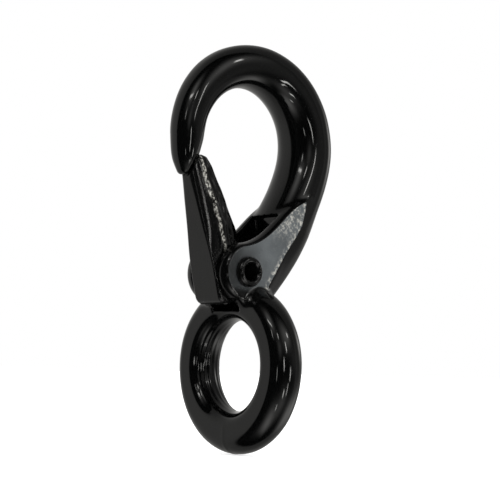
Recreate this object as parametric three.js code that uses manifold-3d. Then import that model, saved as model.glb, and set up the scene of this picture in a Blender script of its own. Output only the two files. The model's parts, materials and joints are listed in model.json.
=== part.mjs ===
// Forged eye snap hook with a sprung gate, in millimetres.
//
// Frame: the origin is the middle of the eye. +Z runs up to the crown of the hook, +X runs along the
// eye's hole towards the hook's back, so the mouth and the gate are on the -X side, and Y runs along
// the gate's rivet. The hook is symmetric about the plane Y = 0, where the two forging dies met.
// Heights named RISE are measured from the top of the eye's rim, so what is above the eye moves with it.
import * as THREE from "three";
import { mergeVertices } from "three/addons/utils/BufferGeometryUtils.js";
import Module from "manifold-3d";

const wasm = await Module();
wasm.setup();

// Eye: a ring around the X axis, thicker at its foot, where the load pulls.
const EYE_HOLE_R = 12.6;
const EYE_SECTION = 10.4; // from the hole to the rim, at the sides
const EYE_FOOT_SECTION = 11.9; // the same at the lowest point
const EYE_WIDTH = 10.6; // along the hole
const EYE_INNER_ROUND = 3.4; // from the hole to where the flat side starts
const EYE_FLAT = 3; // width of the flat ring on each side

// Bowl: the round of the hook, measured on the bar's centreline.
const BOWL_R = 21.6;
const BOWL_X = 0.95;
const BOWL_RISE = 39.55;

// Point: the short straight end of the bar.
const POINT_DROP = 10.9; // below the bowl's centre
const POINT_LEAN = 1; // outwards over that drop

// Bar: half depth (across the bowl) and half width (along Y), at shares of the centreline from eye to point.
const BAR = [
  { at: 0, depth: 4.8, width: 6 },
  { at: 0.05, depth: 6.3, width: 6.9 },
  { at: 0.14, depth: 7.6, width: 8.3 },
  { at: 0.28, depth: 6.9, width: 8.4 },
  { at: 0.43, depth: 6.7, width: 8 },
  { at: 0.57, depth: 6.6, width: 7.2 },
  { at: 0.72, depth: 5.7, width: 6.2 },
  { at: 0.86, depth: 4.6, width: 5 },
  { at: 0.93, depth: 4.1, width: 4.5 },
  { at: 0.97, depth: 2.9, width: 3.6 },
  { at: 1, depth: 0.9, width: 1.8 },
];
const BAR_SQUARENESS = 2.3; // 2 is an ellipse
const BAR_SINK = 4.6; // how far the bar starts below the eye's rim
const LEG_BOW_X = 13.1; // where the back of the hook turns upright
const LEG_BOW_RISE = 14.6;
const LEG_JOIN = 11; // height over which it joins the bowl

// Rivet's axis, on which the gate turns.
const PIVOT_X = -5.2;
const PIVOT_RISE = 2.7;

// Ears: the two cheeks either side of the gate's slot, rounded over at their edges.
const BODY_WIDTH = 18;
const EAR_R = 8.4;
const EAR_X = -4.7; // middle of the round end
const EAR_RISE = 2.5;
const EAR_ROUND = 1.5;
const EAR_ROUND_START = 100; // degrees round from +X to where the top edge meets the round end
const EAR_ROUND_END = 248; // degrees round from +X to where the round end turns down into the eye
const EAR_FOOT_X = -4; // both ends of the ear's foot, inside the eye's top
const EAR_HEEL_X = 3;
const EAR_FOOT_SINK = 6.6;
const EAR_BACK_X = 13.6; // where the ear's back edge meets the bar's back
const EAR_BACK_RISE = 15;
const EAR_BACK_BOW_X = 9; // pulls the back edge in
const EAR_BACK_BOW_RISE = 5;
const EAR_TIP_X = 15.4; // where each ear runs out on the side of the bar
const EAR_TIP_RISE = 24.5;
const EAR_TIP_BLUNT_X = 2; // from the tip to the corner behind it
const EAR_TIP_BLUNT_Z = 3;
const EAR_TOP_BOW_X = 7.2; // pull of the top edge at the tip, and at the round end
const EAR_TOP_BOW_RISE = 21.6;
const EAR_TOP_DIP_X = 3.8;
const EAR_TOP_DIP_RISE = 12.3;
const ARCH_R = 6.25; // relief under each ear, above the eye
const ARCH_X = 0.4;
const ARCH_SINK = 7.5; // its centre, below the eye's rim
const ARCH_DEPTH = 1; // how much rounder the eye is left beneath it

// Slot for the gate: a round floor that the gate's knuckle turns in.
const SLOT_WIDTH = 11.6;
const SLOT_FLOOR_R = 28.5;
const SLOT_CENTRE_X = -18.4;
const SLOT_CENTRE_RISE = 12.55;
const SLOT_FOOT = 2.5; // wall left between the slot and the eye's hole
const SLOT_TOP_RISE = 19.6;

// Gate: an arm with a flat outer face, on a knuckle that turns between the ears.
const GATE_SIDE_CLEARANCE = 0.35;
const GATE_FACE_R = 8.5; // from the rivet's axis to the flat outer face
const GATE_BACK_R = 7.2; // from the rivet's axis to the back of the knuckle
const GATE_POINT_PROUD = 1.08; // how far the hook's point stands out from the gate's face
const GATE_OVERLAP = 4.33; // how far the gate goes on past the tip of the point
const GATE_SQUARENESS = 2.4;
// Half depth, half width as a share of the knuckle's, and the share of the half depth where the face cuts.
const GATE_ARM = [
  { at: 0, depth: 10.2, share: 1, cut: 0.3 },
  { at: 0.36, depth: 6.9, share: 0.97, cut: 0.74 },
  { at: 0.67, depth: 5.3, share: 0.81, cut: 0.865 },
  { at: 0.87, depth: 4.3, share: 0.66, cut: 0.93 },
  { at: 1, depth: 3.4, share: 0.59, cut: 0.96 },
];
const KNUCKLE_EDGE = 0.7; // bevel
const KNUCKLE_FOOT = 7.7; // from the rivet's axis down along the face
const KNUCKLE_FOOT_ROUND = 2.8;
const KNUCKLE_BACK_START = 95; // degrees round from the gate's face: both ends of the knuckle's back
const KNUCKLE_BACK_END = 252;
const SEAT_CLEARANCE = 0.45; // between the hook's point and the gate

// Rivet: tubular, with both ends curled over.
const RIVET_R = 3.3;
const RIVET_WALL = 1;
const RIVET_FIT = 0.2; // to the ears
const RIVET_LIP = 1; // how far each head reaches past the rivet
const RIVET_HEAD_HEIGHT = 1.8;
const RIVET_HEAD_GAP = 0.1;

// Gate spring: a torsion coil around the rivet, in a pocket of the gate.
const GATE_RUNNING_FIT = 0.3; // gate on rivet
const WIRE_R = 0.55;
const COIL_TURNS = 4;
const COIL_GAP = 0.25; // between turns
const COIL_FIT = 0.35; // coil to rivet, and coil to pocket
const SPRING_GATE_LEG = 7.4; // up inside the gate
const SPRING_FLOOR_GAP = 0.8; // from the other leg's end to the slot's floor

const radians = THREE.MathUtils.degToRad;
const eyeRim = EYE_HOLE_R + EYE_SECTION;
const bowlZ = eyeRim + BOWL_RISE;
const pivotZ = eyeRim + PIVOT_RISE;
const slotCentreZ = eyeRim + SLOT_CENTRE_RISE;
const archZ = eyeRim - ARCH_SINK;
const rivetEnd = BODY_WIDTH / 2 + RIVET_HEAD_GAP;
const coilR = RIVET_R + COIL_FIT + WIRE_R;
const coilLength = COIL_TURNS * (2 * WIRE_R + COIL_GAP);
const pocketR = coilR + WIRE_R + COIL_FIT;
const pocketWidth = coilLength + 2 * WIRE_R + 2 * COIL_FIT;
const gateWidth = SLOT_WIDTH - 2 * GATE_SIDE_CLEARANCE;

// The gate leans until its face meets the point, so its angle and reach follow from the point and the rivet.
const tipX = BOWL_X - BOWL_R - POINT_LEAN;
const tipZ = bowlZ - POINT_DROP;
const tipReach = Math.hypot(PIVOT_X - tipX, tipZ - pivotZ);
const tipSide = Math.asin((GATE_FACE_R + GATE_POINT_PROUD) / tipReach);
const gateLean = Math.atan2(PIVOT_X - tipX, tipZ - pivotZ) - tipSide;
const gateReach = tipReach * Math.cos(tipSide) + GATE_OVERLAP;

// A closed three.js mesh as a manifold-3d solid.
function solidFrom(geometry) {
  const bare = geometry.index ? geometry.toNonIndexed() : geometry.clone();
  bare.deleteAttribute("normal");
  bare.deleteAttribute("uv");
  const merged = mergeVertices(bare, 1e-4);
  return new wasm.Manifold(
    new wasm.Mesh({
      numProp: 3,
      vertProperties: merged.attributes.position.array,
      triVerts: new Uint32Array(merged.index.array),
    }),
  );
}

function geometryFrom(solid) {
  const mesh = solid.getMesh();
  const geometry = new THREE.BufferGeometry();
  geometry.setAttribute("position", new THREE.BufferAttribute(mesh.vertProperties, 3));
  geometry.setIndex(new THREE.BufferAttribute(mesh.triVerts, 1));
  const faceted = geometry.toNonIndexed();
  faceted.computeVertexNormals();
  return faceted;
}

// The sizes at t, each on a smooth curve through the stations.
function sizesThrough(stations) {
  const names = Object.keys(stations[0]).filter((name) => name !== "at");
  const curve = new THREE.CubicInterpolant(
    stations.map((station) => station.at),
    stations.flatMap((station) => names.map((name) => station[name])),
    names.length,
  );
  return (t) => {
    const values = curve.evaluate(t);
    return Object.fromEntries(names.map((name, i) => [name, values[i]]));
  };
}

// A closed bar bent along a line in the XZ plane, with superellipse sections.
function bentBar(line, sizes, squareness, steps, sides) {
  const bar = new THREE.CylinderGeometry(1, 1, 1, sides, steps);
  const place = bar.attributes.position;
  const vertex = new THREE.Vector3();
  const power = 2 / squareness;
  for (let i = 0; i < place.count; i += 1) {
    vertex.fromBufferAttribute(place, i);
    const t = THREE.MathUtils.clamp(0.5 + vertex.y, 0, 1);
    const centre = line.getPoint(t);
    const along = line.getTangent(t);
    const { depth, width } = sizes(t);
    const across = Math.sign(vertex.x) * Math.abs(vertex.x) ** power * depth;
    const side = -Math.sign(vertex.z) * Math.abs(vertex.z) ** power * width;
    place.setXYZ(i, centre.x + across * along.y, side, centre.y - across * along.x);
  }
  return solidFrom(bar);
}

// An outline in the XZ plane as a plate of the given width, centred on Y = 0.
function plateFrom(outline, width, edge = 0) {
  return solidFrom(
    new THREE.ExtrudeGeometry(outline, {
      depth: width - 2 * edge,
      bevelEnabled: edge > 0,
      bevelThickness: edge,
      bevelSize: edge,
      bevelOffset: -edge,
      bevelSegments: 2,
      curveSegments: 9,
    })
      .translate(0, 0, edge - width / 2)
      .rotateX(Math.PI / 2),
  );
}

// A cylinder whose axis is parallel to Y.
function crossPin(radius, width, x, z, sides = 36) {
  return solidFrom(new THREE.CylinderGeometry(radius, radius, width, sides).translate(x, 0, z));
}

function makeEye() {
  const half = EYE_WIDTH / 2;
  const flatStart = EYE_HOLE_R + EYE_INNER_ROUND;
  const flatEnd = flatStart + EYE_FLAT;
  const outerRound = eyeRim - flatEnd;
  const profile = new THREE.Path();
  profile.absellipse(flatStart, 0, EYE_INNER_ROUND, half, Math.PI, Math.PI * 1.5, false);
  profile.absellipse(flatEnd, 0, outerRound, half, Math.PI * 1.5, Math.PI * 0.5, false);
  profile.absellipse(flatStart, 0, EYE_INNER_ROUND, half, Math.PI * 0.5, Math.PI, false);
  const ring = new THREE.LatheGeometry(profile.getPoints(4), 44).rotateZ(-Math.PI / 2);
  const place = ring.attributes.position;
  for (let i = 0; i < place.count; i += 1) {
    const y = place.getY(i);
    const z = place.getZ(i);
    const radius = Math.hypot(y, z);
    const low = Math.max(-z / radius, 0) ** 2;
    const growth = 1 + (EYE_FOOT_SECTION / EYE_SECTION - 1) * low;
    const stretch = (EYE_HOLE_R + (radius - EYE_HOLE_R) * growth) / radius;
    place.setY(i, y * stretch);
    place.setZ(i, z * stretch);
  }
  return solidFrom(ring);
}

// The bar's centreline; `extra` lengthens its point.
function barLine(extra) {
  const bowlRight = new THREE.Vector2(BOWL_X + BOWL_R, bowlZ);
  const bowlLeft = new THREE.Vector2(BOWL_X - BOWL_R, bowlZ);
  const line = new THREE.CurvePath();
  line.add(
    new THREE.CubicBezierCurve(
      new THREE.Vector2(0, eyeRim - BAR_SINK),
      new THREE.Vector2(LEG_BOW_X, eyeRim + LEG_BOW_RISE),
      new THREE.Vector2(bowlRight.x, bowlZ - LEG_JOIN),
      bowlRight,
    ),
  );
  line.add(new THREE.EllipseCurve(BOWL_X, bowlZ, BOWL_R, BOWL_R, 0, Math.PI));
  line.add(new THREE.LineCurve(bowlLeft, new THREE.Vector2(tipX, tipZ - extra)));
  return line;
}

// The ears' outline: around the rivet, down into the eye, up the hook's back and along the bowl.
function earOutline() {
  const outline = new THREE.Shape();
  const foot = eyeRim - EAR_FOOT_SINK;
  const tip = eyeRim + EAR_TIP_RISE;
  const roundStart = radians(EAR_ROUND_START);
  outline.absarc(EAR_X, eyeRim + EAR_RISE, EAR_R, roundStart, radians(EAR_ROUND_END), false);
  outline.lineTo(EAR_FOOT_X, foot);
  outline.lineTo(EAR_HEEL_X, foot);
  outline.quadraticCurveTo(
    EAR_BACK_BOW_X,
    eyeRim + EAR_BACK_BOW_RISE,
    EAR_BACK_X,
    eyeRim + EAR_BACK_RISE,
  );
  outline.lineTo(EAR_TIP_X + EAR_TIP_BLUNT_X, tip - EAR_TIP_BLUNT_Z);
  outline.lineTo(EAR_TIP_X, tip);
  outline.bezierCurveTo(
    EAR_TOP_BOW_X,
    eyeRim + EAR_TOP_BOW_RISE,
    EAR_TOP_DIP_X,
    eyeRim + EAR_TOP_DIP_RISE,
    EAR_X + EAR_R * Math.cos(roundStart),
    eyeRim + EAR_RISE + EAR_R * Math.sin(roundStart),
  );
  return outline;
}

function makeSlot() {
  const foot = EYE_HOLE_R + SLOT_FOOT;
  const height = eyeRim + SLOT_TOP_RISE - foot;
  const mouth = new THREE.BoxGeometry(4 * SLOT_FLOOR_R, SLOT_WIDTH, height);
  return crossPin(SLOT_FLOOR_R, SLOT_WIDTH, SLOT_CENTRE_X, slotCentreZ, 64).intersect(
    solidFrom(mouth.translate(0, 0, foot + height / 2)),
  );
}

// The bar from the eye to the point, grown all round by `grow`.
function makeBar(grow) {
  const sizes = sizesThrough(BAR);
  const grown = (t) => ({ depth: sizes(t).depth + grow, width: sizes(t).width + grow });
  return bentBar(barLine(grow), grown, BAR_SQUARENESS, 50, 24);
}

function makeHookBody() {
  const arch = crossPin(ARCH_R, 2 * BODY_WIDTH, ARCH_X, archZ).subtract(
    crossPin(ARCH_R + ARCH_DEPTH, EYE_WIDTH + 2 * ARCH_DEPTH, ARCH_X, archZ),
  );
  return plateFrom(earOutline(), BODY_WIDTH, EAR_ROUND)
    .subtract(arch)
    .add(makeBar(0))
    .add(makeEye())
    .subtract(makeSlot())
    .subtract(crossPin(RIVET_R + RIVET_FIT, 2 * BODY_WIDTH, PIVOT_X, pivotZ));
}

// A point measured from the rivet: `out` along the normal of the gate's face, and `up` along the face.
function fromPivot(out, up) {
  return new THREE.Vector2(
    PIVOT_X - out * Math.cos(gateLean) - up * Math.sin(gateLean),
    pivotZ - out * Math.sin(gateLean) + up * Math.cos(gateLean),
  );
}

const gateSizes = sizesThrough(
  GATE_ARM.map(({ at, depth, share, cut }) => ({
    at,
    depth,
    width: (share * gateWidth) / 2,
    inset: cut * depth,
  })),
);

// The middle of the gate's arm, from the rivet up.
class GateLine extends THREE.Curve {
  getPoint(t) {
    return fromPivot(GATE_FACE_R - gateSizes(t).inset, t * gateReach);
  }
}

// The arm's section is a superellipse whose outer side is cut off flat.
function makeGateArm() {
  const reach = gateReach + 2 * GATE_FACE_R;
  const outside = new THREE.BoxGeometry(reach, 2 * BODY_WIDTH, 2 * reach)
    .translate(-reach / 2, 0, 0)
    .rotateY(-gateLean);
  const face = fromPivot(GATE_FACE_R, 0);
  return bentBar(new GateLine(), gateSizes, GATE_SQUARENESS, 10, 24).subtract(
    solidFrom(outside.translate(face.x, 0, face.y)),
  );
}

function makeKnuckle() {
  const outline = new THREE.Shape();
  const facing = Math.PI + gateLean;
  const top = fromPivot(GATE_FACE_R, 0);
  const roundTop = fromPivot(GATE_FACE_R, KNUCKLE_FOOT_ROUND - KNUCKLE_FOOT);
  const corner = fromPivot(GATE_FACE_R, -KNUCKLE_FOOT);
  const roundEnd = fromPivot(GATE_FACE_R - KNUCKLE_FOOT_ROUND, -KNUCKLE_FOOT);
  outline.moveTo(top.x, top.y);
  outline.lineTo(roundTop.x, roundTop.y);
  outline.quadraticCurveTo(corner.x, corner.y, roundEnd.x, roundEnd.y);
  outline.absarc(
    PIVOT_X,
    pivotZ,
    GATE_BACK_R,
    facing + radians(KNUCKLE_BACK_START),
    facing + radians(KNUCKLE_BACK_END),
    false,
  );
  return plateFrom(outline, gateWidth, KNUCKLE_EDGE);
}

// The pocket holds the coil and its gate leg. It is open at the knuckle's back, where the other leg comes out.
function makePocket() {
  const back = new THREE.BoxGeometry(2 * GATE_FACE_R, pocketWidth, 2 * pocketR);
  const rise = SPRING_GATE_LEG + WIRE_R + COIL_FIT;
  const legRoom = new THREE.BoxGeometry(2 * GATE_FACE_R, pocketWidth, rise)
    .translate(GATE_FACE_R - pocketR, 0, rise / 2)
    .rotateY(-gateLean)
    .translate(PIVOT_X, 0, pivotZ);
  return crossPin(pocketR, pocketWidth, PIVOT_X, pivotZ)
    .add(solidFrom(back.translate(PIVOT_X + GATE_FACE_R, 0, pivotZ)))
    .add(solidFrom(legRoom));
}

function makeGate() {
  return makeGateArm()
    .add(makeKnuckle())
    .subtract(makePocket())
    .subtract(crossPin(RIVET_R + GATE_RUNNING_FIT, 2 * BODY_WIDTH, PIVOT_X, pivotZ))
    .subtract(makeBar(SEAT_CLEARANCE));
}

function makeRivet() {
  const bore = RIVET_R - RIVET_WALL;
  const head = RIVET_R + RIVET_LIP;
  const ring = (head - bore) / 2;
  const profile = new THREE.Path();
  profile.moveTo(bore, -rivetEnd);
  profile.absellipse(bore + ring, -rivetEnd, ring, RIVET_HEAD_HEIGHT, Math.PI, Math.PI * 2, false);
  profile.lineTo(RIVET_R, -rivetEnd);
  profile.lineTo(RIVET_R, rivetEnd);
  profile.lineTo(head, rivetEnd);
  profile.absellipse(bore + ring, rivetEnd, ring, RIVET_HEAD_HEIGHT, 0, Math.PI, false);
  profile.lineTo(bore, -rivetEnd);
  return solidFrom(new THREE.LatheGeometry(profile.getPoints(3), 28).translate(PIVOT_X, 0, pivotZ));
}

// The coil's centreline: it runs along Y from the hook's leg, under the coil, to the gate's leg, outside it.
class Coil extends THREE.Curve {
  getPoint(t, target = new THREE.Vector3()) {
    const angle = -Math.PI / 2 - t * this.sweep();
    return target.set(
      PIVOT_X + coilR * Math.cos(angle),
      coilLength * (t - 0.5),
      pivotZ + coilR * Math.sin(angle),
    );
  }

  sweep() {
    return 2 * Math.PI * COIL_TURNS + Math.PI / 2 - gateLean;
  }
}

function makeSpring() {
  const coil = new Coil();
  const start = coil.getPoint(0);
  const end = coil.getPoint(1);
  const floorX = SLOT_CENTRE_X + Math.sqrt(SLOT_FLOOR_R ** 2 - (start.z - slotCentreZ) ** 2);
  const hookEnd = new THREE.Vector3(floorX - SPRING_FLOOR_GAP, start.y, start.z);
  const gateLeg = new THREE.Vector3(-Math.sin(gateLean), 0, Math.cos(gateLean));
  const wire = new THREE.CurvePath();
  wire.add(new THREE.LineCurve3(hookEnd, start));
  wire.add(coil);
  wire.add(new THREE.LineCurve3(end, end.clone().addScaledVector(gateLeg, SPRING_GATE_LEG)));
  const section = new THREE.Shape().absarc(0, 0, WIRE_R, 0, Math.PI * 2, false);
  return solidFrom(
    new THREE.ExtrudeGeometry(section, { steps: 90, curveSegments: 3, extrudePath: wire }),
  );
}

const finishes = {
  black: { color: 0x0b0c0c, roughness: 0.25, metalness: 0.2 },
  rough: { color: 0x0d0e0e, roughness: 0.4, metalness: 0.2 },
  steel: { color: 0x55585a, roughness: 0.35, metalness: 0.9 },
};
const group = new THREE.Group();
function add(name, solid, finish) {
  const mesh = new THREE.Mesh(geometryFrom(solid), new THREE.MeshStandardMaterial(finish));
  mesh.name = name;
  group.add(mesh);
}
add("hook_body", makeHookBody(), finishes.black);
add("gate", makeGate(), finishes.rough);
add("rivet", makeRivet(), finishes.black);
add("gate_spring", makeSpring(), finishes.steel);

export default group;
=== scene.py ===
"""Forged eye snap hook: the finished meshes, materials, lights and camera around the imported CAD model.

Shapes are written in millimetres as distance fields, which are negative inside, and meshed here."""

import json
import math

import bpy
import numpy as np
from mathutils import Matrix, Vector, noise


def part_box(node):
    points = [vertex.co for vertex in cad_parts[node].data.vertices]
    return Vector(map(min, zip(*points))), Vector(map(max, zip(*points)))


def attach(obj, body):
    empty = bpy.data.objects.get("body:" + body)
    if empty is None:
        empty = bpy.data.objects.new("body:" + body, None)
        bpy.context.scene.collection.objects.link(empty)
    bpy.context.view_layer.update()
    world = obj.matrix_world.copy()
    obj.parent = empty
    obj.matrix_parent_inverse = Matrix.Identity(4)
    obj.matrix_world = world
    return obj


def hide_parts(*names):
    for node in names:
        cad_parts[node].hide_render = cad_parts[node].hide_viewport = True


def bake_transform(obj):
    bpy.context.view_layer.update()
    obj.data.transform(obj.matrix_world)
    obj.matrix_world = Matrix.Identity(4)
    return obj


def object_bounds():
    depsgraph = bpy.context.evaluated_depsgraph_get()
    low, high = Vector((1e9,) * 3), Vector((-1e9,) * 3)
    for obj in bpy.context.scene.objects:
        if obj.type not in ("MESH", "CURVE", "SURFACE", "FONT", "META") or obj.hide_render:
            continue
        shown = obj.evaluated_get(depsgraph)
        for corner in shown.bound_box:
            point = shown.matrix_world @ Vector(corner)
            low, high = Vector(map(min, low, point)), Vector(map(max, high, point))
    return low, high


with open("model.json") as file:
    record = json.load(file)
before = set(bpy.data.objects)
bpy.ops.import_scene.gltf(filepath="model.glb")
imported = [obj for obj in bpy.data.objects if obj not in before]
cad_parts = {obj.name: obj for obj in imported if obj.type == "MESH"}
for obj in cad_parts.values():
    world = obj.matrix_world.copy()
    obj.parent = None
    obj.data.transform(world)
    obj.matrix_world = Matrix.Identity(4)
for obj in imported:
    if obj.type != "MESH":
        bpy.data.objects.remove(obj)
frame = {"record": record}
cad_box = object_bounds()

MM = 0.001

# ---------------------------------------------------------------- sizes, in millimetres
hinge = frame["record"]["behaviour"]["joints"][0]
PIVOT_X, _, PIVOT_Z = (value / MM for value in hinge["pos_m"])
body_low, body_high = (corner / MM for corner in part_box("hook_body"))
gate_low, gate_high = (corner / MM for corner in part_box("gate"))
RIVET_END = (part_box("rivet")[1] / MM).y

# Eye: a ring around the X axis
EYE_SECTION = 10.4
EYE_RIM = body_high.y
EYE_HOLE_R = EYE_RIM - EYE_SECTION
EYE_FOOT = -body_low.z - EYE_HOLE_R  # the section grows to this at the lowest place
EYE_HALF = 5.3
EYE_INNER_ROUND = 3.4
EYE_OUTER_ROUND = 4.0
FLASH_HEIGHT = 0.07  # left at the foot of the eye where the dies met
FLASH_HALF = 0.5
FLASH_START = 14.0  # below the eye's middle
FLASH_FADE = 4.0
WEAR_PITCH = 1.7  # steps worn into the sides of the eye's hole
WEAR_DEPTH = 0.07
WEAR_HALF = 4.6  # half the width that they cover
WEAR_FADE = 4.0  # they run out towards the top and the foot of the hole

# Bar: bowl, point and leg
BOWL_R = 21.6
CROWN_DEPTH = 6.18  # from the centreline up to the top of the bowl
BOWL_X = 0.95
BOWL_Z = body_high.z - BOWL_R - CROWN_DEPTH
TIP_X = -21.65
TIP_Z = 51.65
LEG_BOW = (13.1, 37.6)
LEG_JOIN = 11.0
BAR_START = 18.4
BAR_SECTIONS = (  # share of the centreline, half depth, half width
    (0.00, 4.8, 6.0),
    (0.05, 6.3, 6.9),
    (0.14, 7.6, 8.3),
    (0.28, 6.9, 8.4),
    (0.43, 6.7, 8.0),
    (0.57, 6.6, 7.2),
    (0.72, 5.7, 6.2),
    (0.86, 4.6, 5.0),
    (0.93, 4.1, 4.5),
    (0.97, 2.9, 3.6),
    (1.00, 0.9, 1.8),
)
BAR_SQUARENESS = 2.3
POINT_ROUND = 0.8
FACET_TILT = math.radians(53)  # facets ground on the inner sides of the point, turned from the bar's side
POINT_FACET = ((0.0, -0.5), (0.86, -0.3), (0.92, 0.35), (0.96, 0.5), (1.0, 0.35))  # depth by share of the bar
FACET_EDGE = 0.15

# Ears
BODY_HALF = 9.0
EAR_R = 8.4
EAR_X = -4.7
EAR_Z = 25.5
EAR_ROUND_START = math.radians(100)
EAR_ROUND_END = math.radians(248)
EAR_ROUND_IN = 1.3  # in the ear's own plane
EAR_ROUND_OUT = 3.1  # towards the slot
EAR_TIP = (15.4, 47.5)
EAR_TOP_BOW = (7.2, 44.6)
EAR_TOP_DIP = (3.8, 35.3)
EAR_HIDDEN = ((-4.0, 15.0), (10.0, 15.0), (26.0, 40.0), (18.0, 48.7))  # corners hidden or cut off
EAR_FILLET = 0.9  # between ear and bar
PAD_EDGE = ((0.0, 0.0), (0.2, 0.0), (0.275, -2.6))  # from the bar's centreline, by share of the bar
FACET_ANGLE = math.radians(27)  # the back of the neck falls away from the flat pad
FACET_START_ROUND = 0.35
NECK_HALF = 10.3
NECK_ROUND = 1.2
EYE_FILLET = 1.4  # between neck and eye
ARCH_R = 6.25
ARCH_X = 0.4
ARCH_Z = 15.5
ARCH_FLOOR = 4.8
ARCH_FLOOR_ROUND = 0.3
ARCH_EDGE = 0.5

# Slot
SLOT_HALF = 5.8
SLOT_FLOOR_R = 28.5
SLOT_X = -18.4
SLOT_Z = 35.55
SLOT_FOOT = 15.1
SLOT_TOP = 42.6
SLOT_CORNER = 0.2
SLOT_TOP_CORNER = 0.3
SLOT_EDGE = 0.35
BORE_R = 3.5
BORE_EDGE = 0.3

# Gate, measured from the rivet: out along the face's normal, and up along the face
GATE_FACE = 8.5
POINT_PROUD = 1.08
GATE_OVERLAP = 4.33
TIP_REACH = math.hypot(PIVOT_X - TIP_X, TIP_Z - PIVOT_Z)
TIP_SIDE = math.asin((GATE_FACE + POINT_PROUD) / TIP_REACH)
GATE_LEAN = math.atan2(PIVOT_X - TIP_X, TIP_Z - PIVOT_Z) - TIP_SIDE
GATE_TOP = TIP_REACH * math.cos(TIP_SIDE) + GATE_OVERLAP
GATE_TOP_ROUND = 1.1
GATE_HALF = 5.45
GATE_SIDE_ROUND = 0.7
GATE_FACE_ROUND = 0.35
GATE_FOOT = 7.7
GATE_FOOT_ROUND = 2.8
GATE_SQUARENESS = 2.4
GATE_SECTIONS = (  # share of the way up, half depth, half width, share of the half depth where the face cuts
    (0.00, 10.2, 5.45, 0.300),
    (0.36, 6.9, 5.29, 0.740),
    (0.67, 5.3, 4.41, 0.865),
    (0.87, 4.3, 3.60, 0.930),
    (1.00, 3.4, 3.20, 0.960),
)
ARM_FOOT = 3.0  # how far the arm goes on below the rivet, inside the knuckle
SEAM = (  # a ridge and the groove beside it: height, angle from the middle of the arm's back, spread
    (0.35, 1.62, 0.16),
    (-0.25, 1.27, 0.12),
)
SEAM_START = 6.0  # up the gate, and whole at twice that
LUMP = (0.3, -0.6, 26.4, 0.9)  # left by the casting's own gate: out, side, up, radius
LUMP_FILLET = 1.1
KNUCKLE_R = 7.2
KNUCKLE_FILLET = 0.8
KNUCKLE_ARM_FILLET = 1.0
SPARE = 1.0  # what the knuckle has beyond a plane that cuts it later
SEAT_CLEARANCE = 0.45
SEAT_EDGE = 0.3
POCKET_R = 5.1
POCKET_HALF = 3.6
POCKET_EDGE = 0.15
LEG_ROOM_OUT = -0.4  # the pocket's upper part, for the spring's leg: its middle, half depth and top
LEG_ROOM_HALF = 4.7
LEG_ROOM_TOP = 8.3
GATE_BORE_R = 3.6

RIVET_R = 3.3
RIVET_BORE_R = 2.3
RIVET_HEAD_R = 4.25
RIVET_HEAD_GAP = 0.1
RIVET_LIP_FULLNESS = 0.8  # below 1 is fuller than a half ellipse
WIRE_R = 0.55
COIL_R = 4.2
COIL_HALF = 2.7
COIL_TURNS = 4
HOOK_LEG_GAP = 0.8  # between the leg's end and the slot's floor
GATE_LEG = 7.4

# Unevenness: depth, length of its waves, and the place in the noise where it is read
FORGED_DEPTH = 0.05
FORGED_LENGTH = 7.0
FORGED_START = (3.1, 7.1, -5.3)
CAST_DEPTH = 0.32
CAST_ACROSS = 1.3
CAST_ALONG = 4.5
CAST_START = (8.7, 2.0, 1.4)
CAST_FADE = 2.5  # smooth as far as this from the face, and whole at twice that
CAST_RISE = 5.0  # whole from this far above the rivet

# Distance between the grid's lines where a field is meshed
HOOK_STEP = 0.4
GATE_STEP = 0.24
SMOOTHING_ROUNDS = 4


# ---------------------------------------------------------------- distance fields
def smooth_table(sections, count=400):
    """Each column of the sections at even steps, on a smooth curve through them."""
    stations = np.array(sections)
    at = stations[:, 0]
    wanted = np.linspace(0, 1, count)
    columns = []
    for values in stations[:, 1:].T:
        slope = np.gradient(values, at)
        i = np.clip(np.searchsorted(at, wanted, side="right") - 1, 0, len(at) - 2)
        gap = at[i + 1] - at[i]
        s = (wanted - at[i]) / gap
        columns.append(
            (2 * s**3 - 3 * s**2 + 1) * values[i]
            + (s**3 - 2 * s**2 + s) * gap * slope[i]
            + (3 * s**2 - 2 * s**3) * values[i + 1]
            + (s**3 - s**2) * gap * slope[i + 1]
        )
    return wanted, *columns


def bezier(a, b, c, d, count):
    t = np.linspace(0, 1, count)[:, None]
    a, b, c, d = (np.array(p, float) for p in (a, b, c, d))
    return (1 - t) ** 3 * a + 3 * (1 - t) ** 2 * t * b + 3 * (1 - t) * t**2 * c + t**3 * d


def even_steps(points, count):
    """The polyline again, at even steps of its length, and that length."""
    run = np.concatenate([[0], np.cumsum(np.linalg.norm(np.diff(points, axis=0), axis=1))])
    at = np.linspace(0, run[-1], count)
    return np.stack([np.interp(at, run, points[:, k]) for k in range(2)], 1), run[-1]


def bar_line():
    right = (BOWL_X + BOWL_R, BOWL_Z)
    leg = bezier((0, BAR_START), LEG_BOW, (right[0], BOWL_Z - LEG_JOIN), right, count=200)
    angle = np.linspace(0, math.pi, 300)[1:, None]
    bowl = np.concatenate([BOWL_X + BOWL_R * np.cos(angle), BOWL_Z + BOWL_R * np.sin(angle)], 1)
    point = np.linspace(bowl[-1], (TIP_X, TIP_Z), 40)[1:]
    return even_steps(np.concatenate([leg, bowl, point]), count=260)


LINE, LINE_LENGTH = bar_line()
TANGENT = np.gradient(LINE, axis=0)
TANGENT /= np.linalg.norm(TANGENT, axis=1)[:, None]
BAR_AT, BAR_DEPTH, BAR_WIDTH = smooth_table(BAR_SECTIONS)
GATE_AT, GATE_DEPTH, GATE_WIDTH, GATE_CUT = smooth_table(GATE_SECTIONS)

LOOK_UP_STEP = 0.5  # grid that tells the nearest point of the centreline
LOOK_UP_MARGIN = 40.0
LOOK_UP_LOW = LINE.min(axis=0) - LOOK_UP_MARGIN


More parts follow.
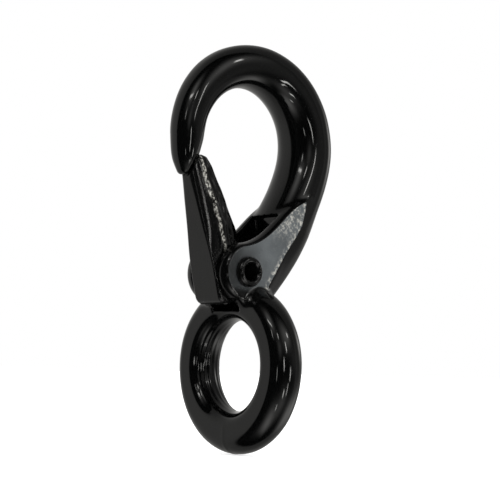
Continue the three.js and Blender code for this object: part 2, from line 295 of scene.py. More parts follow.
def look_up_table():
    """Index of the point of the centreline nearest each node of a grid."""
    size = ((LINE.max(axis=0) + LOOK_UP_MARGIN - LOOK_UP_LOW) / LOOK_UP_STEP).astype(int)
    x, z = (LOOK_UP_LOW[n] + LOOK_UP_STEP * np.arange(size[n]) for n in range(2))
    best = np.full(tuple(size), np.inf)
    index = np.zeros(tuple(size), int)
    for i, (px, pz) in enumerate(LINE):
        square = (x[:, None] - px) ** 2 + (z[None, :] - pz) ** 2
        closer = square < best
        best[closer] = square[closer]
        index[closer] = i
    return index


LOOK_UP = look_up_table()


def nearest_on_line(x, z):
    """Share of the bar's centreline nearest each point, and the distances outwards and past its ends."""
    x, z = np.broadcast_arrays(x, z)
    last = len(LINE) - 1
    step = LINE_LENGTH / last
    column = np.clip(np.rint((x - LOOK_UP_LOW[0]) / LOOK_UP_STEP).astype(int), 0, LOOK_UP.shape[0] - 1)
    row = np.clip(np.rint((z - LOOK_UP_LOW[1]) / LOOK_UP_STEP).astype(int), 0, LOOK_UP.shape[1] - 1)
    i = LOOK_UP[column, row]
    for turn in range(2):
        along = ((x - LINE[i, 0]) * TANGENT[i, 0] + (z - LINE[i, 1]) * TANGENT[i, 1]) / step
        if turn == 0:
            i = np.clip(np.rint(i + along), 0, last).astype(int)
    free = i + along
    at = np.clip(free, 0, last)
    low = np.minimum(at.astype(int), last - 1)
    mix = at - low
    off_x, off_z = (axis - LINE[low, n] * (1 - mix) - LINE[low + 1, n] * mix for n, axis in enumerate((x, z)))
    way_x, way_z = (TANGENT[low, n] * (1 - mix) + TANGENT[low + 1, n] * mix for n in range(2))
    return at / last, off_x * way_z - off_z * way_x, np.maximum(free - last, -free) * step


def oval(u, v, a, b, power):
    """Distance to a superellipse with half axes a and b, true to first order at its edge."""
    u = np.maximum(np.abs(u) / a, 1e-4)
    v = np.maximum(np.abs(v) / b, 1e-4)
    k = (u**power + v**power) ** (1 / power)
    slope = k ** (1 - power) * np.hypot(u ** (power - 1) / a, v ** (power - 1) / b)
    return (k - 1) / slope


def join(a, b, radius):
    """Union, with a fillet."""
    h = np.clip(0.5 + 0.5 * (b - a) / radius, 0, 1)
    return b + (a - b) * h - radius * h * (1 - h)


def meet(a, b, radius):
    """Intersection, with a rounded edge."""
    return -join(-a, -b, radius)


def corner(a, b, radius):
    """Intersection whose edge is a true quarter round."""
    ua, ub = a + radius, b + radius
    return np.minimum(np.maximum(ua, ub), 0) + np.hypot(np.maximum(ua, 0), np.maximum(ub, 0)) - radius


def cut(a, b, radius):
    return meet(a, -b, radius)


def polygon(x, z, points):
    """Signed distance to a closed outline in the XZ plane."""
    x, z = np.broadcast_arrays(x, z)
    best = np.full(x.shape, 1e9)
    inside = np.zeros(x.shape, bool)
    for (ax, az), (bx, bz) in zip(points, np.roll(points, -1, axis=0)):
        ex, ez = bx - ax, bz - az
        share = np.clip(((x - ax) * ex + (z - az) * ez) / (ex * ex + ez * ez), 0, 1)
        best = np.minimum(best, (x - ax - ex * share) ** 2 + (z - az - ez * share) ** 2)
        if az != bz:
            crosses = ((az > z) != (bz > z)) & (x < (bx - ax) * (z - az) / (bz - az) + ax)
            inside ^= crosses
    return np.where(inside, -1, 1) * np.sqrt(best)


def ear_outline():
    angle = np.linspace(EAR_ROUND_START, EAR_ROUND_END, 26)
    start = np.stack([EAR_X + EAR_R * np.cos(angle), EAR_Z + EAR_R * np.sin(angle)], 1)
    top = bezier(EAR_TIP, EAR_TOP_BOW, EAR_TOP_DIP, start[0], count=30)
    return np.concatenate([start, EAR_HIDDEN, top[:-1]])


EAR_OUTLINE = ear_outline()


def eye_field(x, y, z):
    radius = np.hypot(y, z)
    low = np.maximum(-z / np.maximum(radius, 1e-6), 0) ** 2
    growth = 1 + ((EYE_FOOT - EYE_SECTION) / EYE_SECTION) * low
    r = (radius - EYE_HOLE_R) / growth
    inner = oval(np.minimum(r - EYE_INNER_ROUND, 0), x, EYE_INNER_ROUND, EYE_HALF, 2.0)
    flat_end = EYE_SECTION - EYE_OUTER_ROUND
    outer = oval(np.maximum(r - flat_end, 0), x, EYE_OUTER_ROUND, EYE_HALF, 2.0)
    at_sides = np.clip((np.abs(x) < WEAR_HALF) * (radius - np.abs(z)) / WEAR_FADE, 0, 1)
    wear_and_sheen = WEAR_DEPTH * np.sin(2 * math.pi * x / WEAR_PITCH) * at_sides
    at_foot = np.clip((-z - FLASH_START) / FLASH_FADE, 0, 1)
    flash = FLASH_HEIGHT * np.exp(-((y / FLASH_HALF) ** 2)) * at_foot
    return np.where(r < EYE_INNER_ROUND, inner + wear_and_sheen, outer - flash)


def bar_field(x, y, z, grow=0.0, line=None):
    share, across, beyond = line or nearest_on_line(x, z)
    depth = np.interp(share, BAR_AT, BAR_DEPTH) + grow
    width = np.interp(share, BAR_AT, BAR_WIDTH) + grow
    side = oval(across, y, depth, width, BAR_SQUARENESS)
    shares, cuts = zip(*POINT_FACET)
    other = BAR_SQUARENESS / (BAR_SQUARENESS - 1)
    inner, flank = math.cos(FACET_TILT), math.sin(FACET_TILT)
    reach = ((inner * depth) ** other + (flank * width) ** other) ** (1 / other)
    facet = flank * np.abs(y) - inner * across - reach + np.interp(share, shares, cuts)
    return corner(meet(side, facet, FACET_EDGE), beyond - grow, POINT_ROUND)


def ear_field(x, y, z, line):
    share, across, _ = line
    outline = polygon(x, z, EAR_OUTLINE) / EAR_ROUND_IN
    side = (np.abs(y) - BODY_HALF) / EAR_ROUND_OUT
    plate = corner(outline, side, 1.0) * EAR_ROUND_IN
    edge = np.interp(share, *zip(*PAD_EDGE))
    facet = (np.abs(y) - BODY_HALF) * math.cos(FACET_ANGLE) + (across - edge) * math.sin(FACET_ANGLE)
    depth = np.interp(share, BAR_AT, BAR_DEPTH)
    back = oval(np.maximum(across, 0), y, depth, NECK_HALF, BAR_SQUARENESS)
    return meet(meet(plate, facet, FACET_START_ROUND), back, NECK_ROUND)


def hook_field(x, y, z):
    line = nearest_on_line(x, z)
    bar = bar_field(x, y, z, line=line)
    neck = join(bar, ear_field(x, y, z, line), EAR_FILLET)
    arch = np.hypot(x - ARCH_X, z - ARCH_Z) - ARCH_R
    arch = meet(arch, ARCH_FLOOR - np.abs(y), ARCH_FLOOR_ROUND)
    body = join(cut(neck, arch, ARCH_EDGE), eye_field(x, y, z), EYE_FILLET)
    slot = np.hypot(x - SLOT_X, z - SLOT_Z) - SLOT_FLOOR_R
    slot = meet(slot, np.abs(y) - SLOT_HALF, SLOT_CORNER)
    slot = meet(slot, SLOT_FOOT - z, SLOT_CORNER)
    slot = meet(slot, z - SLOT_TOP, SLOT_TOP_CORNER)
    body = cut(body, slot, SLOT_EDGE)
    bore = np.hypot(x - PIVOT_X, z - PIVOT_Z) - BORE_R
    return cut(body, bore, BORE_EDGE)


def gate_place(x, z):
    """How far out from the rivet, along the face's normal, and how far up the face."""
    dx, dz = x - PIVOT_X, z - PIVOT_Z
    out = -dx * math.cos(GATE_LEAN) - dz * math.sin(GATE_LEAN)
    up = -dx * math.sin(GATE_LEAN) + dz * math.cos(GATE_LEAN)
    return out, up


def gate_arm(out, y, up):
    share = np.clip(up / GATE_TOP, 0, 1)
    depth = np.interp(share, GATE_AT, GATE_DEPTH)
    width = np.interp(share, GATE_AT, GATE_WIDTH)
    middle = GATE_FACE - np.interp(share, GATE_AT, GATE_CUT) * depth
    arm = oval(out - middle, y, depth, width, GATE_SQUARENESS)
    turn = np.arctan2(np.abs(y) / width, (middle - out) / depth)
    seam = sum(height * np.exp(-(((turn - at) / spread) ** 2)) for height, at, spread in SEAM)
    arm = arm - seam * np.clip(up / SEAM_START - 1, 0, 1)
    arm = corner(arm, np.maximum(up - GATE_TOP, -up - ARM_FOOT), GATE_TOP_ROUND)
    lump_out, lump_side, lump_up, lump_r = LUMP
    lump = np.sqrt((out - lump_out) ** 2 + (y - lump_side) ** 2 + (up - lump_up) ** 2) - lump_r
    return join(arm, lump, LUMP_FILLET)


def gate_field(x, y, z):
    out, up = gate_place(x, z)
    from_pivot = np.hypot(out, up)
    under_face = np.maximum(np.maximum(-out, up), out - GATE_FACE - SPARE)
    knuckle = join(from_pivot - KNUCKLE_R, under_face, KNUCKLE_FILLET)
    knuckle = np.maximum(knuckle, np.abs(y) - GATE_HALF - SPARE)
    gate = join(gate_arm(out, y, up), knuckle, KNUCKLE_ARM_FILLET)
    gate = corner(gate, corner(out - GATE_FACE, -up - GATE_FOOT, GATE_FOOT_ROUND), GATE_FACE_ROUND)
    gate = corner(gate, np.abs(y) - GATE_HALF, GATE_SIDE_ROUND)
    pocket = np.minimum(from_pivot - POCKET_R, np.maximum(np.abs(z - PIVOT_Z) - POCKET_R, PIVOT_X - x))
    leg_room = np.maximum(np.abs(out - LEG_ROOM_OUT) - LEG_ROOM_HALF, np.maximum(up - LEG_ROOM_TOP, -up))
    pocket = np.maximum(np.minimum(pocket, leg_room), np.abs(y) - POCKET_HALF)
    gate = cut(gate, pocket, POCKET_EDGE)
    gate = cut(gate, from_pivot - GATE_BORE_R, POCKET_EDGE)
    seat = bar_field(x, y, z, grow=SEAT_CLEARANCE)
    return cut(gate, seat, SEAT_EDGE)


# ---------------------------------------------------------------- meshing
def surface_net(field, low, high, step):
    """A closed quad mesh of the field's zero surface: one vertex per grid cell that the surface crosses."""
    axes = [np.arange(a - 2 * step, b + 2 * step, step) for a, b in zip(low, high)]
    values = field(axes[0][:, None, None], axes[1][None, :, None], axes[2][None, None, :])
    inside = values < 0
    shape = tuple(n - 1 for n in inside.shape)
    total = np.zeros(shape + (3,))
    count = np.zeros(shape)
    corners = [(i, j, k) for i in (0, 1) for j in (0, 1) for k in (0, 1)]

    def at(array, offset):
        return array[tuple(slice(o, o + n) for o, n in zip(offset, shape))]

    for axis in range(3):
        for offset in corners:
            if offset[axis]:
                continue
            other = tuple(o + (n == axis) for n, o in enumerate(offset))
            a, b = at(values, offset), at(values, other)
            crosses = at(inside, offset) != at(inside, other)
            share = np.where(crosses, a / np.where(crosses, a - b, 1), 0)
            for n in range(3):
                total[..., n] += np.where(crosses, offset[n] + (share if n == axis else 0), 0)
            count += crosses
    used = count > 0
    index = np.full(shape, -1)
    index[used] = np.arange(used.sum())
    place = total[used] / count[used][:, None] + np.argwhere(used)
    vertices = place * step + np.array([a[0] for a in axes])
    faces = []
    for axis in range(3):
        u, v = (axis + 1) % 3, (axis + 2) % 3
        first = [slice(None)] * 3
        second = [slice(None)] * 3
        first[axis], second[axis] = slice(None, -1), slice(1, None)
        crosses = inside[tuple(first)] != inside[tuple(second)]
        cells = np.argwhere(crosses)
        cells = cells[(cells[:, u] > 0) & (cells[:, v] > 0)]
        out = inside[tuple(first)][tuple(cells.T)]
        quad = []
        for du, dv in ((-1, -1), (0, -1), (0, 0), (-1, 0)):
            cell = cells.copy()
            cell[:, u] += du
            cell[:, v] += dv
            quad.append(index[tuple(cell.T)])
        quad = np.stack(quad, 1)
        quad[~out] = quad[~out][:, ::-1]
        faces.append(quad)
    return vertices, np.concatenate(faces)


def slope_of(field, p, reach=0.04):
    """The field's value at each point, and its slope."""
    here = field(*p.T)
    away = [field(*(p + reach * np.eye(3)[n]).T) for n in range(3)]
    return here, (np.stack(away, 1) - here[:, None]) / reach


def settle(field, vertices, faces, rounds, step):
    """Even the mesh out along the surface, and bring each vertex onto the field's zero surface."""
    edges = np.concatenate([faces[:, [n, (n + 1) % 4]] for n in range(4)])
    degree = sum(np.bincount(edges[:, n], minlength=len(vertices)) for n in range(2))
    for turn in range(rounds):
        if turn:
            total = np.stack(
                [
                    np.bincount(edges[:, 0], vertices[edges[:, 1], n], len(vertices))
                    + np.bincount(edges[:, 1], vertices[edges[:, 0], n], len(vertices))
                    for n in range(3)
                ],
                1,
            )
            vertices = vertices * 0.5 + 0.5 * total / degree[:, None]
        value, slope = slope_of(field, vertices)
        square = np.maximum((slope**2).sum(1), 0.05)
        move = np.clip(value / square, -step, step)
        vertices = vertices - slope * move[:, None]
    return vertices


def mesh_piece(name, vertices, faces, material, body):
    mesh = bpy.data.meshes.new(name)
    mesh.from_pydata((vertices * MM).tolist(), [], [tuple(map(int, face)) for face in faces])
    mesh.update()
    mesh.shade_smooth()
    mesh.materials.append(material)
    piece = bpy.data.objects.new(name, mesh)
    bpy.context.scene.collection.objects.link(piece)
    if body:
        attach(piece, body)
    return piece


def uneven(vertices, faces, amount, places):
    """Moves each vertex along its normal by smooth noise, read at the given places."""
    normal = np.zeros_like(vertices)
    cross = np.cross(*(vertices[faces[:, n + 2]] - vertices[faces[:, n]] for n in range(2)))
    for n in range(4):
        for axis in range(3):
            normal[:, axis] += np.bincount(faces[:, n], cross[:, axis], len(vertices))
    normal /= np.maximum(np.linalg.norm(normal, axis=1), 1e-9)[:, None]
    lift = np.array([noise.noise(Vector(place)) for place in places])
    return vertices + normal * (amount * lift)[:, None]


def forged(vertices):
    """Long, shallow unevenness of a forging."""
    return FORGED_DEPTH, vertices / FORGED_LENGTH + FORGED_START


def cast(vertices):
    """Rough streaks of a casting, drawn out along the gate, on its back and sides only."""
    out, up = gate_place(vertices[:, 0], vertices[:, 2])
    places = np.stack([out / CAST_ACROSS, vertices[:, 1] / CAST_ACROSS, up / CAST_ALONG], 1) + CAST_START
    from_face = np.clip((GATE_FACE - CAST_FADE - out) / CAST_FADE, 0, 1)
    return CAST_DEPTH * from_face * np.clip(up / CAST_RISE, 0, 1), places


# ---------------------------------------------------------------- materials
# Painted highlight colour, laid in specks on the pads and in streaks along the gate's ridge.
PAINTED_HIGHLIGHT_COLOUR = (0.42, 0.41, 0.37)
# Painted reflection colour of the pads.
PAD_REFLECTION_COLOUR = (0.105, 0.116, 0.121)
PATCH_SCALE = 220  # noise scales are per metre
PEEL_SCALE = 420
SPECKLE_SCALE = 2600
GRAIN_SCALE = 3800
SPECKLES = (0.52, 0.8)  # levels of the noise where a thing starts and is whole, here and below
PATCHES = (0.3, 0.75)
PEEL_HEIGHT = 0.00006  # metres
GRAIN_HEIGHT = 0.00003

# Pad, the flat outer face of each ear, with a painted reflection, painted shade and painted highlights on it.
# Each pair is where a fade starts and where it is whole.
PAD_INNER = (BODY_HALF - 0.12, BODY_HALF - 0.04)  # half width
PAD_OUTER = (BODY_HALF + 0.3, BODY_HALF + 0.1)
PAD_ABOVE = (EYE_RIM - 3, EYE_RIM - 1)
PAD_SLANT = 0.69  # the pad's back edge: its lean, and where it would start
PAD_START = -12.9
PAD_BESIDE = (PAD_START - 2.4, PAD_START - 0.3)  # painted highlight in specks along the back edge
PAD_UPPER = (34.0, 41.0)  # and near the upper end
PAD_SHADE = (-11.28, 0.5)  # x, from the pad's darkest, in painted shade, to its full colour
PAD_DARKEST = 0.2
PAD_BLOTCH = 0.65
PAD_ROUGHNESS = 0.28  # on top of the coat's own
GRAIN_BESIDE_PAD = 0.12
PAD_SPECK_SCALE = 900
PAD_SPECKS = (0.46, 0.62)

# Painted highlight along the ridge of the gate's flank
RIDGE_LINE = (8.0, 28.0, 2.5, 4.2)  # up the gate, from and to; out from the rivet there
RIDGE_HALF = (0.2, 0.9)  # where the streaks' edge starts and ends
RIDGE_RISE = (5, 9)
RIDGE_WANDER = 1.6
RIDGE_WANDER_SCALE = 330
RIDGE_BREAK_SCALE = 1500
RIDGE_BREAKS = (0.44, 0.62)


def new_material(name):
    material = bpy.data.materials.new(name)
    material.use_nodes = True
    return material, material.node_tree, material.node_tree.nodes["Principled BSDF"]


def noise_node(tree, place, scale, detail=3.0, rough=0.5):
    node = tree.nodes.new("ShaderNodeTexNoise")
    node.inputs["Scale"].default_value = scale
    node.inputs["Detail"].default_value = detail
    node.inputs["Roughness"].default_value = rough
    tree.links.new(place, node.inputs["Vector"])
    return node.outputs["Fac"]


def ranged(tree, value, low, high, to_low, to_high):
    node = tree.nodes.new("ShaderNodeMapRange")
    node.interpolation_type = "SMOOTHSTEP"
    for socket, number in zip(("From Min", "From Max", "To Min", "To Max"), (low, high, to_low, to_high)):
        node.inputs[socket].default_value = number
    tree.links.new(value, node.inputs["Value"])
    return node.outputs["Result"]


def fade(tree, value, start, whole):
    """0 where the value in metres is at start, and 1 where it is at whole; both are in millimetres."""
    if start < whole:
        return ranged(tree, value, start * MM, whole * MM, 0, 1)
    return ranged(tree, value, whole * MM, start * MM, 1, 0)


def bump(tree, height, distance, strength, under=None):
    node = tree.nodes.new("ShaderNodeBump")
    node.inputs["Distance"].default_value = distance
    node.inputs["Strength"].default_value = strength
    tree.links.new(height, node.inputs["Height"])
    if under:
        tree.links.new(under, node.inputs["Normal"])
    return node.outputs["Normal"]


def math_node(tree, kind, a, b=0):
    node = tree.nodes.new("ShaderNodeMath")
    node.operation = kind
    for socket, value in zip(node.inputs, (a, b)):
        if isinstance(value, (int, float)):
            socket.default_value = value
        else:
            tree.links.new(value, socket)
    return node.outputs[0]


def product(tree, first, *others):
    for other in others:
        first = math_node(tree, "MULTIPLY", first, other)
    return first


def painted(tree, under, colour, factor):
    """A colour laid by a factor over another colour, or over a socket's."""
    node = tree.nodes.new("ShaderNodeMix")
    node.data_type = "RGBA"
    if isinstance(under, tuple):
        node.inputs["A"].default_value = (*under, 1)
    else:
        tree.links.new(under, node.inputs["A"])
    node.inputs["B"].default_value = (*colour, 1)
    tree.links.new(factor, node.inputs["Factor"])
    return node.outputs["Result"]


def along_gate(tree, place, axis):
    """Distance in mm from the rivet along an axis of the gate."""
    node = tree.nodes.new("ShaderNodeVectorMath")
    node.operation = "SUBTRACT"
    tree.links.new(place, node.inputs[0])
    node.inputs[1].default_value = (PIVOT_X * MM, 0, PIVOT_Z * MM)
    dot = tree.nodes.new("ShaderNodeVectorMath")
    dot.operation = "DOT_PRODUCT"
    tree.links.new(node.outputs[0], dot.inputs[0])
    dot.inputs[1].default_value = Vector(axis) / MM
    return dot.outputs["Value"]


def painted_ridge_highlight(tree, place, under):
    """A painted highlight, in broken streaks along the ridge of the gate's flank."""
    lean_cos, lean_sin = math.cos(GATE_LEAN), math.sin(GATE_LEAN)
    out = along_gate(tree, place, (-lean_cos, 0, -lean_sin))
    rise = along_gate(tree, place, (-lean_sin, 0, lean_cos))
    wander = product(tree, noise_node(tree, place, RIDGE_WANDER_SCALE, 2), RIDGE_WANDER)
    from_line = math_node(tree, "SUBTRACT", out, ranged(tree, rise, *RIDGE_LINE))
    from_line = math_node(tree, "ABSOLUTE", math_node(tree, "SUBTRACT", from_line, wander))
    near = ranged(tree, from_line, *RIDGE_HALF, 1, 0)
    ends = ranged(tree, rise, *RIDGE_RISE, 0, 1)
    broken = ranged(tree, noise_node(tree, place, RIDGE_BREAK_SCALE, 4, 0.65), *RIDGE_BREAKS, 0, 1)
    return painted(tree, under, PAINTED_HIGHLIGHT_COLOUR, product(tree, near, ends, broken))


def on_pad(tree, axes):
    """1 on the ears' flat faces, and 0 elsewhere."""
    side = math_node(tree, "ABSOLUTE", axes["Y"])
    between = product(tree, fade(tree, side, *PAD_INNER), fade(tree, side, *PAD_OUTER))
    return product(tree, between, fade(tree, axes["Z"], *PAD_ABOVE))


def painted_pad_light(tree, place, axes, flat, patches, under):
    """A painted reflection gives the pad a paler, uneven colour, painted shade darkens it towards low x, and
    painted highlights lie in specks behind and above.
    """
    blotch = ranged(tree, patches, 0.2, 0.8, PAD_BLOTCH, 1.0)
    shade = ranged(tree, axes["X"], PAD_SHADE[0] * MM, PAD_SHADE[1] * MM, PAD_DARKEST, 1.0)
    # Painted reflection on the pad, darkened by painted shade towards low x.
    wear_and_sheen = painted(tree, under, PAD_REFLECTION_COLOUR, product(tree, flat, blotch, shade))
    # Painted highlight in specks behind and above.
    from_edge = math_node(tree, "SUBTRACT", axes["X"], product(tree, axes["Z"], PAD_SLANT))
    behind = math_node(tree, "MAXIMUM", fade(tree, from_edge, *PAD_BESIDE), fade(tree, axes["Z"], *PAD_UPPER))
    specks = ranged(tree, noise_node(tree, place, PAD_SPECK_SCALE, 4, 0.7), *PAD_SPECKS, 0, 1)
    return painted(tree, wear_and_sheen, PAINTED_HIGHLIGHT_COLOUR, product(tree, behind, specks, flat))


def coat(name, colour, dusty, roughness, peel, grain, pad=False, ridge=False):
    """Glossy black coating: a little orange peel, faint speckle, and rougher patches."""
    material, tree, shader = new_material(name)
    place = tree.nodes.new("ShaderNodeTexCoord").outputs["Object"]
    patches = noise_node(tree, place, PATCH_SCALE, 4)
    speckle = ranged(tree, noise_node(tree, place, SPECKLE_SCALE, 2), *SPECKLES, 0, 1)
    base = painted(tree, colour, dusty, speckle)
    gloss = ranged(tree, patches, *PATCHES, *roughness)
    fine = noise_node(tree, place, GRAIN_SCALE, 3, 0.6)
    # On the pads: painted reflection, painted shade and painted highlights.
    if pad:
        split = tree.nodes.new("ShaderNodeSeparateXYZ")
        tree.links.new(place, split.inputs[0])
        flat = on_pad(tree, split.outputs)
        gloss = math_node(tree, "ADD", gloss, product(tree, flat, PAD_ROUGHNESS))
        fine = product(tree, fine, math_node(tree, "ADD", flat, GRAIN_BESIDE_PAD))
        base = painted_pad_light(tree, place, split.outputs, flat, patches, base)
    # Painted highlight in streaks along the ridge of the gate's flank.
    if ridge:
        base = painted_ridge_highlight(tree, place, base)
    wave = bump(tree, noise_node(tree, place, PEEL_SCALE, 2), PEEL_HEIGHT, peel)
    tree.links.new(base, shader.inputs["Base Color"])
    tree.links.new(gloss, shader.inputs["Roughness"])
    tree.links.new(bump(tree, fine, GRAIN_HEIGHT, grain, wave), shader.inputs["Normal"])
    shader.inputs["IOR"].default_value = 1.52
    return material


FORGED_BLACK = (0.0012, 0.0013, 0.0013)
CAST_BLACK = (0.0015, 0.0016, 0.0016)
black_coat = coat("black_coat", FORGED_BLACK, (0.004,) * 3, (0.05, 0.10), peel=0.10, grain=0.35, pad=True)
gate_coat = coat("gate_coat", CAST_BLACK, (0.006,) * 3, (0.08, 0.17), peel=0.4, grain=0.6, ridge=True)
rivet_coat = coat("rivet_coat", CAST_BLACK, (0.005,) * 3, (0.07, 0.14), peel=0.4, grain=0.5)


def wire_steel():
    """Bare drawn wire."""
    material, tree, shader = new_material("spring_steel")
    place = tree.nodes.new("ShaderNodeTexCoord").outputs["Object"]
    streaks = noise_node(tree, place, 3000, 3)
    shader.inputs["Base Color"].default_value = (0.30, 0.31, 0.32, 1)
    shader.inputs["Metallic"].default_value = 1.0
    tree.links.new(ranged(tree, streaks, 0.3, 0.7, 0.22, 0.42), shader.inputs["Roughness"])
    tree.links.new(bump(tree, streaks, 0.00001, 0.4), shader.inputs["Normal"])
    return material


spring_steel = wire_steel()


# ---------------------------------------------------------------- pieces
def field_piece(name, field, box, step, material, body, wave):
    vertices, faces = surface_net(field, *box, step)
    vertices = settle(field, vertices, faces, SMOOTHING_ROUNDS, step)
    vertices = uneven(vertices, faces, *wave(vertices))
    return mesh_piece(name, vertices, faces, material, body)


body_box = (body_low, body_high)
gate_box = (gate_low, gate_high)
hook = field_piece("hook_forging", hook_field, body_box, HOOK_STEP, black_coat, "hook", forged)
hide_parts("hook_body")
gate = field_piece("gate_casting", gate_field, gate_box, GATE_STEP, gate_coat, "gate", cast)
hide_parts("gate")


def ring_faces(count, sides, closed=False):
    """Quads between each ring of points and the next; a closed run also goes from the last to the first."""
    faces = []
    for i in range(count if closed else count - 1):
        here, after = i * sides, (i + 1) % count * sides
        for j in range(sides):
            beside = (j + 1) % sides
            faces.append((here + j, here + beside, after + beside, after + j))
    return faces


def turned(name, profile, centre, turns, material, body):
    """A closed profile of (radius, y) turned around an axis parallel to Y."""
    angle = np.linspace(0, 2 * math.pi, turns, endpoint=False)
    rings = [
        np.stack([centre[0] + r * np.cos(angle), np.full(turns, y), centre[1] + r * np.sin(angle)], 1)
        for r, y in profile
    ]
    faces = ring_faces(len(profile), turns, closed=True)
    return mesh_piece(name, np.concatenate(rings), faces, material, body)


def rivet_profile():
    head_start = BODY_HALF + RIVET_HEAD_GAP
    height = RIVET_END - head_start
    ring = (RIVET_HEAD_R - RIVET_BORE_R) / 2
    middle = RIVET_BORE_R + ring
    angle = np.linspace(0, math.pi, 22)
    rise = height * np.sin(angle) ** RIVET_LIP_FULLNESS
    lip = list(zip(middle + ring * np.cos(angle), head_start + rise))
    outer = [(RIVET_R, head_start * s) for s in np.linspace(-1, 1, 12)]
    inner = [(RIVET_BORE_R, head_start * s) for s in np.linspace(1, -1, 12)]
    lower = [(r, -y) for r, y in reversed(lip)]
    return outer + lip + inner[1:-1] + lower


rivet = turned("rivet_tube", rivet_profile(), (PIVOT_X, PIVOT_Z), 72, rivet_coat, "hook")
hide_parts("rivet")


def spring_path():
    """A leg to the slot's floor, the coil around the rivet, and a leg up the gate."""
    sweep = 2 * math.pi * COIL_TURNS + math.pi / 2 - GATE_LEAN
    share = np.linspace(0, 1, 220)
    angle = -math.pi / 2 - share * sweep
    side = COIL_HALF * (2 * share - 1)
    coil = np.stack([PIVOT_X + COIL_R * np.cos(angle), side, PIVOT_Z + COIL_R * np.sin(angle)], 1)
    floor = SLOT_X + math.sqrt(SLOT_FLOOR_R**2 - (coil[0, 2] - SLOT_Z) ** 2)
    hook_leg = np.linspace((floor - HOOK_LEG_GAP, coil[0, 1], coil[0, 2]), coil[0], 14)[:-1]
    up = np.array([-math.sin(GATE_LEAN), 0, math.cos(GATE_LEAN)])
    gate_leg = np.linspace(coil[-1], coil[-1] + GATE_LEG * up, 14)[1:]
    return np.concatenate([hook_leg, coil, gate_leg])


def tube(name, path, radius, sides, material):
    """A round wire along a path, closed at both ends."""
    tangent = np.gradient(path, axis=0)
    tangent /= np.linalg.norm(tangent, axis=1)[:, None]
    side = np.cross(tangent[0], (0, 1, 0))
    angle = np.linspace(0, 2 * math.pi, sides, endpoint=False)[:, None]
    rings = []
    for centre, way in zip(path, tangent):
        side = side - way * side.dot(way)
        side /= np.linalg.norm(side)
        rings.append(centre + radius * (np.cos(angle) * side + np.sin(angle) * np.cross(way, side)))
    vertices = np.concatenate(rings + [path[:1], path[-1:]])
    count = len(path)
    last = (count - 1) * sides
    faces = ring_faces(count, sides)
    faces += [(count * sides, (j + 1) % sides, j) for j in range(sides)]
    faces += [(count * sides + 1, last + j, last + (j + 1) % sides) for j in range(sides)]
    return mesh_piece(name, vertices, faces, material, None)


spring = tube("gate_coil", spring_path(), WIRE_R, 16, spring_steel)
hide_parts("gate_spring")
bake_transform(spring)


# ---------------------------------------------------------------- stage, light and camera
scene = bpy.context.scene
scene.view_settings.view_transform = "Standard"
scene.view_settings.look = "None"

world = bpy.data.worlds.new("studio")
scene.world = world
world.use_nodes = True
world.node_tree.nodes["Background"].inputs["Color"].default_value = (1, 1, 1, 1)
world.node_tree.nodes["Background"].inputs["Strength"].default_value = 1.0
world.cycles.sampling_method = "NONE"

low, high = cad_box
middle = (low + high) / 2

AZIMUTH = math.radians(-40.26)
ELEVATION = math.radians(-3.89)
ROLL = math.radians(1.5)
DISTANCE = 0.456  # metres, as are the aim and the shifts
AIM = Vector((0, 0, 0.03315))
SIDE_SHIFT = 0.00221
RISE_SHIFT = -0.00078
PIXELS_PER_MM = 3.57
PICTURE_WIDTH = 500
SENSOR_WIDTH = 36

back = Vector(
    (
        math.sin(AZIMUTH) * math.cos(ELEVATION),
        -math.cos(AZIMUTH) * math.cos(ELEVATION),
        math.sin(ELEVATION),
    )
)
level = Vector((math.cos(AZIMUTH), math.sin(AZIMUTH), 0))
upright = back.cross(level)
right = level * math.cos(ROLL) + upright * math.sin(ROLL)
up = upright * math.cos(ROLL) - level * math.sin(ROLL)

camera_data = bpy.data.cameras.new("camera")
camera_data.sensor_width = SENSOR_WIDTH
camera_data.lens = SENSOR_WIDTH * PIXELS_PER_MM * DISTANCE / MM / PICTURE_WIDTH
camera = bpy.data.objects.new("camera", camera_data)
turn = Matrix((right, up, back)).transposed()
camera_at = AIM + back * DISTANCE + right * SIDE_SHIFT + up * RISE_SHIFT
camera.matrix_world = Matrix.Translation(camera_at) @ turn.to_4x4()
scene.collection.objects.link(camera)
scene.camera = camera

FLOOR_R = 3  # metres
FLOOR_GAP = 0.0002
FLOOR_COLOUR = (0.9, 0.9, 0.9, 1)


def pale_floor():
    """A disc under the hook, lit by itself, that the gloss doesn't reflect."""
    material, _, shader = new_material("pale_floor")
    shader.inputs["Base Color"].default_value = FLOOR_COLOUR
    shader.inputs["Roughness"].default_value = 0.9
    shader.inputs["Specular IOR Level"].default_value = 0.0
    shader.inputs["Emission Color"].default_value = FLOOR_COLOUR
    shader.inputs["Emission Strength"].default_value = 0.8
    mesh = bpy.data.meshes.new("floor")
    angles = np.linspace(0, 2 * math.pi, 96, endpoint=False)
    rim = [(FLOOR_R * math.cos(a), FLOOR_R * math.sin(a), 0) for a in angles]
    mesh.from_pydata(rim, [], [tuple(range(len(rim)))])
    mesh.materials.append(material)
    floor = bpy.data.objects.new("floor", mesh)
    floor.location.z = low.z - FLOOR_GAP
    floor.visible_glossy = False
    scene.collection.objects.link(floor)


pale_floor()


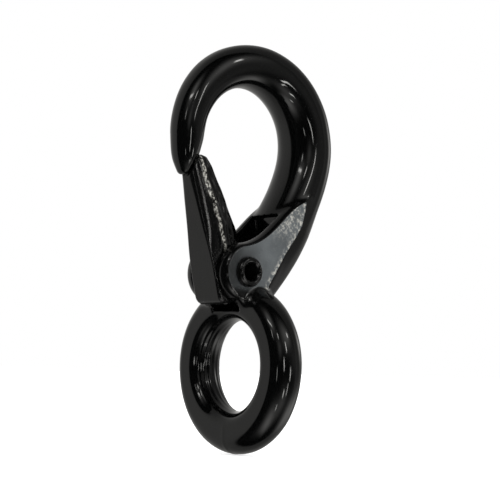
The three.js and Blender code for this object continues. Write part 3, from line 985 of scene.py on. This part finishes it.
# What the gloss reflects, by its direction from the object. Sides count as seen from the camera.
# Side: angle from the camera's direction where its light starts, its radiance there, and right behind.
ROOM = {
    "left": (87, 0.42, 0.8),
    "above": (94, 0.15, 0.4),
    "right": (90, 0.14, 0.35),
    "below": (102, 0.20, 0.4),
}
ROOM_BLUR = 5
GLOWS = (  # azimuth to the right, elevation, radius, radiance
    (51, 38, 17, 0.70),
    (43, -39, 16, 0.55),
    (7, 24, 11, 0.45),
    (82, 5, 18, 0.18),
    (104, -42, 16, 1.00),
    (124, -28, 10, 0.60),
    (66, 36, 13, 0.50),
    (128, 8, 9, 1.60),
    (-5, -58, 17, 1.40),
    (-26, 50, 13, 1.10),
)
LAMPS = (  # azimuth to the right, elevation, half width, half height, radiance
    (29, 4, 1.3, 7, 12),
    (-14, -6, 1.1, 5, 6),
    (46, 24, 1.3, 6, 12),
    (8, 38, 1.6, 3, 8),
    (-32, 30, 1.3, 4, 6),
    (-30, 44, 7, 1.4, 9),
    (40, -28, 1.3, 4, 11),
    (18, -44, 1.2, 3, 7),
    (62, -8, 1.2, 6, 12),
    (56, -24, 1.0, 5, 9),
    (69, 36, 2, 3, 9),
)
DEEP_FROM = 115  # angle from the camera's direction where a side's light turns into the one right behind
DEEP_OVER = 50
LAMP_EDGE = 1.5  # steepness of a lamp's edge
DOME_R = 0.6  # metres
DOME_STEPS = 480
WARM = np.array((1.0, 0.99, 0.96))


def reflected_light(way):
    """Radiance that arrives from each direction."""
    aside, above, ahead = (way @ np.array(axis) for axis in (level, upright, back))
    turned_away = np.degrees(np.arccos(np.clip(ahead, -1, 1)))
    length = np.maximum(np.hypot(aside, above), 1e-9)
    share = {
        "left": np.maximum(-aside / length, 0) ** 2,
        "above": np.maximum(above / length, 0) ** 2,
        "right": np.maximum(aside / length, 0) ** 2,
        "below": np.maximum(-above / length, 0) ** 2,
    }
    start, near, behind = (sum(share[side] * ROOM[side][n] for side in ROOM) for n in range(3))
    lit = np.clip((turned_away - start) / ROOM_BLUR + 0.5, 0, 1)
    total = lit * (near + (behind - near) * np.clip((turned_away - DEEP_FROM) / DEEP_OVER, 0, 1))
    azimuth = np.degrees(np.arctan2(aside, ahead))
    elevation = np.degrees(np.arcsin(np.clip(above, -1, 1)))
    for turn, rise, radius, radiance in GLOWS:
        spread = ((azimuth - turn) * np.cos(np.radians(rise))) ** 2 + (elevation - rise) ** 2
        total += radiance * np.exp(-spread / radius**2)
    for turn, rise, half_width, half_height, radiance in LAMPS:
        across = np.abs(azimuth - turn) * np.cos(np.radians(rise)) / half_width
        along = np.abs(elevation - rise) / half_height
        total += radiance * np.clip(0.5 + LAMP_EDGE * (1 - np.maximum(across, along)), 0, 1)
    return total


def light_dome():
    """A sphere around the scene that only the gloss sees."""
    turns = np.linspace(0, 2 * math.pi, DOME_STEPS, endpoint=False)
    rises = np.linspace(-math.pi / 2, math.pi / 2, DOME_STEPS // 2 + 1)
    turn, rise = (grid.ravel() for grid in np.meshgrid(turns, rises))
    way = np.stack([np.cos(rise) * np.cos(turn), np.cos(rise) * np.sin(turn), np.sin(rise)], 1)
    i, j = np.meshgrid(np.arange(DOME_STEPS), np.arange(DOME_STEPS // 2))
    here, beside = i + j * DOME_STEPS, (i + 1) % DOME_STEPS + j * DOME_STEPS
    faces = np.stack([here, here + DOME_STEPS, beside + DOME_STEPS, beside], 2).reshape(-1, 4)
    mesh = bpy.data.meshes.new("light_dome")
    mesh.from_pydata((way * DOME_R).tolist(), [], faces.tolist())
    glow = mesh.color_attributes.new("glow", "FLOAT_COLOR", "POINT")
    colour = np.concatenate([reflected_light(way)[:, None] * WARM, np.ones((len(way), 1))], 1)
    glow.data.foreach_set("color", colour.ravel())
    material, tree, shader = new_material("light_dome")
    shader.inputs["Base Color"].default_value = (0, 0, 0, 1)
    shader.inputs["Specular IOR Level"].default_value = 0.0
    shader.inputs["Emission Strength"].default_value = 1.0
    reading = tree.nodes.new("ShaderNodeAttribute")
    reading.attribute_name = "glow"
    tree.links.new(reading.outputs["Color"], shader.inputs["Emission Color"])
    material.cycles.emission_sampling = "NONE"
    mesh.materials.append(material)
    dome = bpy.data.objects.new("light_dome", mesh)
    dome.location = middle
    dome.visible_camera = False
    dome.visible_diffuse = False
    dome.visible_transmission = False
    dome.visible_shadow = False
    scene.collection.objects.link(dome)


light_dome()
